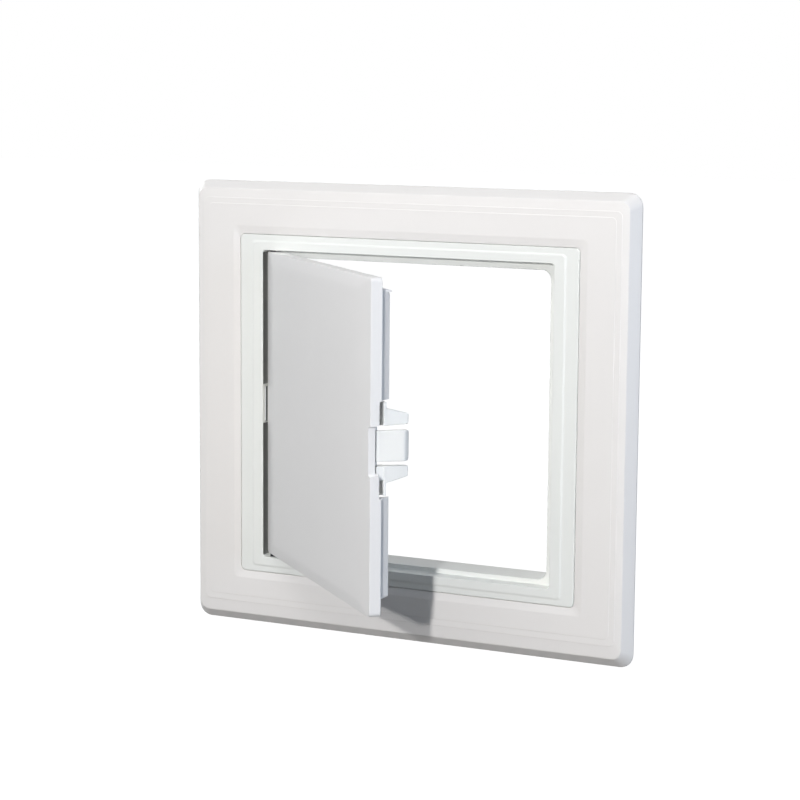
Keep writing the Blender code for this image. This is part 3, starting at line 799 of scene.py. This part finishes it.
def model_door(sizes):
    """Door leaf with its crowned face, round hinge edge, back rib and latch seat."""
    door = loft("door_leaf", door_outlines(sizes), closed=False)
    combine(door, model_back_rib(), "UNION")
    combine(door, model_top_rib(), "UNION")
    for corners in latch_seat_corners():
        combine(door, blocks("seat", [corners]), "DIFFERENCE")
    notch = (FREE_EDGE - NOTCH_REACH, FREE_EDGE + NOTCH_REACH, -NOTCH_HALF - NOTCH_FALL,
             NOTCH_HALF, NOTCH_CORNER)
    cutter = loft("notch", [(*notch, depth_y(depth)) for depth in NOTCH_DEPTHS], closed=False)
    combine(door, cutter, "DIFFERENCE")
    hang_on_hinge(door)
    for low, high in ((DOOR_TOP - DOOR_BORE, DOOR_TOP + OVERCUT),
                      (DOOR_BOTTOM - OVERCUT, DOOR_BOTTOM + DOOR_BORE)):
        combine(door, bore(low, high), "DIFFERENCE")
    return door


def model_back_rib():
    """Ring-shaped rib on the back of the door's plate, bevelled along its outer side."""
    def outer(inset, radius, depth):
        return (RIB_LOW_X + inset, RIB_HIGH_X - inset,
                RIB_BOTTOM + RIB_BOTTOM_SHARE * inset, RIB_TOP - inset, radius,
                depth_y(depth))

    foot = PLATE_DEPTH - EMBED
    wide, tight = RIB_CORNERS
    stations = [
        (outer(0.0, wide, foot), 0.0),
        (outer(0.0, wide, RIB_BEVEL_START), 0.0002),
        (outer(RIB_BEVEL, tight, SIDE_RIB_DEPTH), 0.0002),
        (outer(RIB_CREST, tight, SIDE_RIB_DEPTH), 0.0002),
        ((RIB_LOW_X + RIB, RIB_HIGH_X - RIB, RIB_BOTTOM + RIB, RIB_TOP - RIB, wide,
          depth_y(foot)), 0.0),
    ]
    return loft("back_rib", soften(stations, closed=True, steps=3), closed=True)


def model_top_rib():
    """The upper run of the rib, which stands a little deeper and thins to its crest."""
    x_low = RIB_LOW_X + TOP_RIB_END
    x_high = RIB_HIGH_X - TOP_RIB_END
    low = RIB_TOP - RIB + EMBED / 2
    high = RIB_TOP - EMBED / 2
    radius = 0.0001
    outlines = [(x_low, x_high, low, high, radius, depth_y(PLATE_DEPTH - EMBED / 2)),
                (x_low, x_high, low, high, radius, depth_y(RIM_DEPTH)),
                (x_low, x_high, low, high - TOP_RIB_TAPER, radius,
                 depth_y(TOP_RIB_DEPTH - TOP_RIB_ROUND)),
                (x_low, x_high - radius, low + radius, high - TOP_RIB_TAPER - TOP_RIB_ROUND,
                 radius, depth_y(TOP_RIB_DEPTH))]
    return loft("top_rib", outlines, closed=False)


def latch_seat_corners():
    """Room for the latch in the rib, in the rim between the fins, and along the rim."""
    plate = depth_y(PLATE_DEPTH)
    deep = depth_y(TOP_RIB_DEPTH) + EMBED
    inside = SEAT_HIGH_X - EMBED
    outside = FREE_EDGE + OVERCUT
    return (
        ((SEAT_LOW_X, plate, -SEAT_HALF), (SEAT_HIGH_X, deep, SEAT_HALF)),
        ((inside, plate, -NOTCH_HALF), (outside, deep, NOTCH_HALF)),
        ((inside, depth_y(SEAT_RIM_DEPTH), -SEAT_HALF), (outside, deep, SEAT_HALF)),
    )


# Latch: its boxes are given by X from the free edge and by depth

LATCH_FRONT = PLATE_DEPTH + 0.0003
LATCH_BACK_X = FREE_EDGE - 0.0054
BAR_X, BAR_DEPTH = FREE_EDGE - 0.00415, 0.0036
HEEL_X, HEEL_DEPTH = FREE_EDGE - 0.0039, 0.0056
BLOCK_X, BLOCK_DEPTHS = FREE_EDGE - 0.00225, (0.00485, 0.0057)
FOOT_X, FOOT_DEPTH, FOOT_HEIGHT = FREE_EDGE - 0.00235, 0.0054, 0.0042
LATCH_ROUND = 0.0002
FIN_THICKNESS = 0.0020
FIN_ROOT_DEPTH = 0.0055
FIN_ROOT_RISES = (0.0, 0.0051)
FIN_TIP_RISES = (0.0003, 0.0033)
FIN_CORNER = 0.0003
FIN_END = ((0.93, 0.0), (0.975, 0.00008), (1.0, 0.0003))
TONGUE_THICKNESS = 0.0014
TONGUE_CORNER = 0.00030
TONGUE_END_ROUND = 0.0009


def model_latch():
    """Latch body: a root bar, an end block each side and two tapering guide fins."""
    front = depth_y(LATCH_FRONT)
    bar = ((LATCH_BACK_X, front, -LATCH_HALF), (BAR_X, depth_y(BAR_DEPTH), LATCH_HALF))
    latch = blocks("latch_body", [bar], LATCH_ROUND / 2)
    for side in (-1, 1):
        low, high = sorted((LATCH_LIFT + side * FIN_START, side * (LATCH_HALF - EMBED)))
        heel = ((LATCH_BACK_X + EMBED, front + EMBED, low),
                (HEEL_X, depth_y(HEEL_DEPTH), high))
        block = ((LATCH_BACK_X + 2 * EMBED, depth_y(BLOCK_DEPTHS[0]), low + EMBED / 4),
                 (BLOCK_X, depth_y(BLOCK_DEPTHS[1]), high - EMBED / 4))
        for corners in (heel, block):
            combine(latch, blocks("latch_block", [corners], LATCH_ROUND), "UNION")
        combine(latch, model_fin(side), "UNION")
    lower_fin = LATCH_LIFT - FIN_START
    foot = ((LATCH_BACK_X + 3 * EMBED, front + 2 * EMBED, lower_fin - FOOT_HEIGHT),
            (FOOT_X, depth_y(FOOT_DEPTH), lower_fin - EMBED / 2))
    combine(latch, blocks("latch_foot", [foot], LATCH_ROUND), "UNION")
    hang_on_hinge(latch)
    return latch


def model_fin(side):
    """One guide fin, taller at its root than at its tip."""
    x_high = LATCH_FACE
    x_low = x_high - FIN_THICKNESS
    root = sorted(LATCH_LIFT + side * (FIN_START + rise) for rise in FIN_ROOT_RISES)
    tip = sorted(LATCH_LIFT + side * (FIN_START + rise) for rise in FIN_TIP_RISES)
    outlines = [(x_low, x_high, *root, FIN_CORNER, depth_y(FIN_ROOT_DEPTH))]
    for share, inset in FIN_END:
        z_low = root[0] + (tip[0] - root[0]) * share + inset
        z_high = root[1] + (tip[1] - root[1]) * share - inset
        depth = FIN_ROOT_DEPTH + (LATCH_REACH - FIN_ROOT_DEPTH) * share
        outlines.append((x_low + inset, x_high - inset, z_low, z_high, FIN_CORNER,
                         depth_y(depth)))
    return loft("fin", outlines, closed=False)


def model_tongue(sizes):
    """Springy tongue that rises gently to a nose and drops to a sloped lead-in.

    Each row of its profile has the depth, the low and high X, the reach of the crease, and
    the share of the end's rounding by which its height is drawn in.
    """
    face = LATCH_FACE
    inside = face - TONGUE_THICKNESS
    nose = face + sizes.catch_rise
    low = LATCH_LIFT - TONGUE_HALF
    high = LATCH_LIFT + TONGUE_HALF
    end_round = TONGUE_END_ROUND
    profile = [
        (0.00260, inside + 0.0005, face - 0.0005, 0.0, 0.0),
        (0.00275, inside + 0.0002, face - 0.0002, 0.0, 0.0),
        (0.00330, inside, face, 0.0002, 0.0),
        (0.00360, inside, face, 0.0001, 0.0),
        (0.01000, inside + 0.0004, nose, 0.0005, 0.0),
        (0.01080, inside + 0.0004, nose, 0.0007, 0.0),
        (LATCH_REACH - end_round, inside + 0.0002, nose - 0.0005, 0.0, 0.0),
        (LATCH_REACH - 0.45 * end_round, inside + 0.0001, nose - 0.0009, 0.0, 0.16),
        (LATCH_REACH - 0.12 * end_round, inside, nose - 0.0013, 0.0, 0.52),
        (LATCH_REACH, inside, nose - 0.0015, 0.0, 1.0),
    ]
    stations = [((x_low, x_high, low + drawn * end_round, high - drawn * end_round,
                  TONGUE_CORNER, depth_y(depth)), reach)
                for depth, x_low, x_high, reach, drawn in profile]
    tongue = loft("latch_spring", soften(stations, closed=False), closed=False)
    hang_on_hinge(tongue)
    return tongue


# Stage: the camera was solved from the photo's corners. Each lamp has a name, its azimuth
# from the front and its elevation in degrees, its distance, size and power, its aim and its
# colour. The two keys give the door's shadow its darker core and its lighter lower part.

CAMERA_PLACE = (0.311276, -0.634017, 0.105333)
CAMERA_TURN = (81.8698, -0.42568, 26.43081)
CAMERA_LENS = 104.67
SENSOR_WIDTH = 36.0
CLIP_START = 0.01

WHITE = (1.0, 1.0, 1.0)
MIDDLE = (0.0, 0.0, 0.0)
SHADOW_CORNER = (0.012, -0.004, -0.058)
LAMPS = (
    ("key_lower", (12.2, 14.6), 0.75, (0.018, 0.018), 1.4, SHADOW_CORNER, WHITE),
    ("key_upper", (12.2, 18.4), 0.75, (0.018, 0.018), 2.1, SHADOW_CORNER, WHITE),
    ("overhead", (-8.0, 50.0), 0.5, (0.3, 0.3), 0.8, (0.0, 0.0, 0.03), WHITE),
    ("top_fill", (0.0, 80.0), 1.0, (0.5, 0.3), 1.4, MIDDLE, (0.85, 0.93, 1.0)),
    ("left_fill", (-75.0, 12.0), 0.45, (0.2, 0.2), 0.33, MIDDLE, (0.80, 0.90, 1.0)),
    ("right_fill", (80.0, 8.0), 0.9, (0.4, 0.4), 2.7, MIDDLE, (0.66, 0.80, 1.0)),
    ("back_fill", (232.0, 20.0), 0.8, (0.3, 0.3), 1.6, MIDDLE, WHITE),
)
WORLD_LEVEL = 0.04
WORLD_TINT = (0.85, 0.92, 1.0)
FLOOR_SIZE = 6.0
FLOOR_GAP = 0.0006
FLOOR_TONE = (0.08, 0.08, 0.08)
FLOOR_GLOW = 13.0


def add_lamp(name, direction, distance, size, power, aim, colour):
    """An area lamp that faces the aim from a direction given in degrees."""
    azimuth, elevation = (math.radians(angle) for angle in direction)
    offset = Vector((math.sin(azimuth) * math.cos(elevation),
                     -math.cos(azimuth) * math.cos(elevation), math.sin(elevation)))
    bpy.ops.object.light_add(type="AREA", location=Vector(aim) + offset * distance)
    lamp = bpy.context.object
    lamp.name = name
    lamp.rotation_euler = (-offset).to_track_quat("-Z", "Y").to_euler()
    lamp.data.shape = "RECTANGLE"
    lamp.data.size, lamp.data.size_y = size
    lamp.data.energy = power
    lamp.data.color = colour


def light_world(level, tint):
    """A white world where it is seen or mirrored, and an even pale light for the rest."""
    world = bpy.data.worlds.new("studio")
    bpy.context.scene.world = world
    graph = Graph(world)
    seen = seen_directly(graph)
    background = graph.add("ShaderNodeBackground", None, {
        "Color": graph.blend(seen, (*tint, 1.0), (1.0, 1.0, 1.0, 1.0)),
        "Strength": seen * (1.0 - level) + level})
    graph.finish(background, "ShaderNodeOutputWorld")


def build_floor():
    """A large pale floor on which the panel's lower edge stands."""
    bpy.ops.object.select_all(action="DESELECT")
    bpy.ops.mesh.primitive_plane_add(size=FLOOR_SIZE,
                                     location=(0.0, 0.0, SURROUND_LOW.z - FLOOR_GAP))
    floor = bpy.context.object
    floor.name = "floor"
    bpy.ops.object.transform_apply(location=True, rotation=True, scale=True)
    floor.data.materials.append(stage_white("floor_white", FLOOR_TONE, FLOOR_GLOW))


def add_camera():
    bpy.ops.object.camera_add(location=CAMERA_PLACE,
                              rotation=[math.radians(turn) for turn in CAMERA_TURN])
    camera = bpy.context.object
    camera.data.lens = CAMERA_LENS
    camera.data.sensor_width = SENSOR_WIDTH
    camera.data.clip_start = CLIP_START
    bpy.context.scene.camera = camera


# Operators

class BuildSurround(Operator):
    """Model the wide bezel and give it its plastic."""

    bl_idname = "access_panel.surround"
    bl_label = "Surround"

    def execute(self, context):
        finish = context.scene.panel_finish
        material = moulded_plastic("surround_moulding", finish.surround_colour,
                                   finish.gloss + 0.04)
        piece = model_surround(context.scene.panel_sizes)
        fit(piece, material, "panel_frame", "trim_frame")
        return {"FINISHED"}


class BuildDoorFrame(Operator):
    """Model the inner band, jamb, ledge and neck."""

    bl_idname = "access_panel.door_frame"
    bl_label = "Door frame"

    def execute(self, context):
        finish = context.scene.panel_finish
        # The frame's plastic carries painted shade in the hinge grooves behind the lip
        material = moulded_plastic("frame_moulding", finish.frame_colour, finish.gloss,
                                   painted_shade_box=painted_shade_corners())
        piece = model_door_frame(context.scene.panel_sizes)
        fit(piece, material, "panel_frame", "door_frame")
        return {"FINISHED"}


class BuildDoor(Operator):
    """Model the door leaf with its crowned face and back rib."""

    bl_idname = "access_panel.door"
    bl_label = "Door"

    def execute(self, context):
        finish = context.scene.panel_finish
        material = moulded_plastic("door_moulding", finish.door_colour, finish.gloss)
        piece = model_door(context.scene.panel_sizes)
        fit(piece, material, "door", "door_panel")
        return {"FINISHED"}


class BuildLatch(Operator):
    """Model the latch body with its fins, and the springy tongue."""

    bl_idname = "access_panel.latch"
    bl_label = "Latch"

    def execute(self, context):
        finish = context.scene.panel_finish
        sizes = context.scene.panel_sizes
        clip = moulded_plastic("clip_moulding", finish.latch_colour, finish.gloss - 0.04,
                               LATCH_GRAIN)
        fit(model_latch(), clip, "door", "latch_clip")
        spring = moulded_plastic("tongue_moulding", finish.latch_colour,
                                 finish.gloss - 0.06, LATCH_GRAIN)
        fit(model_tongue(sizes), spring, "tongue", "latch_tongue")
        return {"FINISHED"}


class DressPins(Operator):
    """Give the hinge pins their drawn steel."""

    bl_idname = "access_panel.pins"
    bl_label = "Hinge pins"

    def execute(self, context):
        steel = drawn_steel("pin_wire", context.scene.panel_finish.pin_colour,
                            WIRE_ROUGHNESS)
        for name in ("hinge_pin_top", "hinge_pin_bottom"):
            frame["nodes"][name].data.materials.clear()
            frame["nodes"][name].data.materials.append(steel)
        return {"FINISHED"}


class BuildStage(Operator):
    """Set the floor, the soft lamps, the world and the camera."""

    bl_idname = "access_panel.stage"
    bl_label = "Stage"

    def execute(self, context):
        context.scene.view_settings.view_transform = "Standard"
        build_floor()
        light_world(WORLD_LEVEL, WORLD_TINT)
        for lamp in LAMPS:
            add_lamp(*lamp)
        add_camera()
        return {"FINISHED"}


OPERATORS = (BuildSurround, BuildDoorFrame, BuildDoor, BuildLatch, DressPins, BuildStage)


class AccessPanelSidebar(Panel):
    """Sizes, colours and the build steps in the sidebar."""

    bl_idname = "VIEW3D_PT_access_panel"
    bl_label = "Access Panel"
    bl_space_type = "VIEW_3D"
    bl_region_type = "UI"
    bl_category = "Access Panel"

    def draw(self, context):
        for settings in (context.scene.panel_sizes, context.scene.panel_finish):
            column = self.layout.column(align=True)
            for name in settings.__annotations__:
                column.prop(settings, name)
        for operator in OPERATORS:
            self.layout.operator(operator.bl_idname)


CLASSES = (PanelSizes, PanelFinish, *OPERATORS, AccessPanelSidebar)


def register():
    for item in CLASSES:
        bpy.utils.register_class(item)
    bpy.types.Scene.panel_sizes = PointerProperty(type=PanelSizes)
    bpy.types.Scene.panel_finish = PointerProperty(type=PanelFinish)


def unregister():
    del bpy.types.Scene.panel_finish
    del bpy.types.Scene.panel_sizes
    for item in reversed(CLASSES):
        bpy.utils.unregister_class(item)


def main():
    register()
    steps = bpy.ops.access_panel
    for step in (steps.surround, steps.door_frame, steps.door, steps.latch, steps.pins,
                 steps.stage):
        step()


if __name__ == "__main__":
    main()
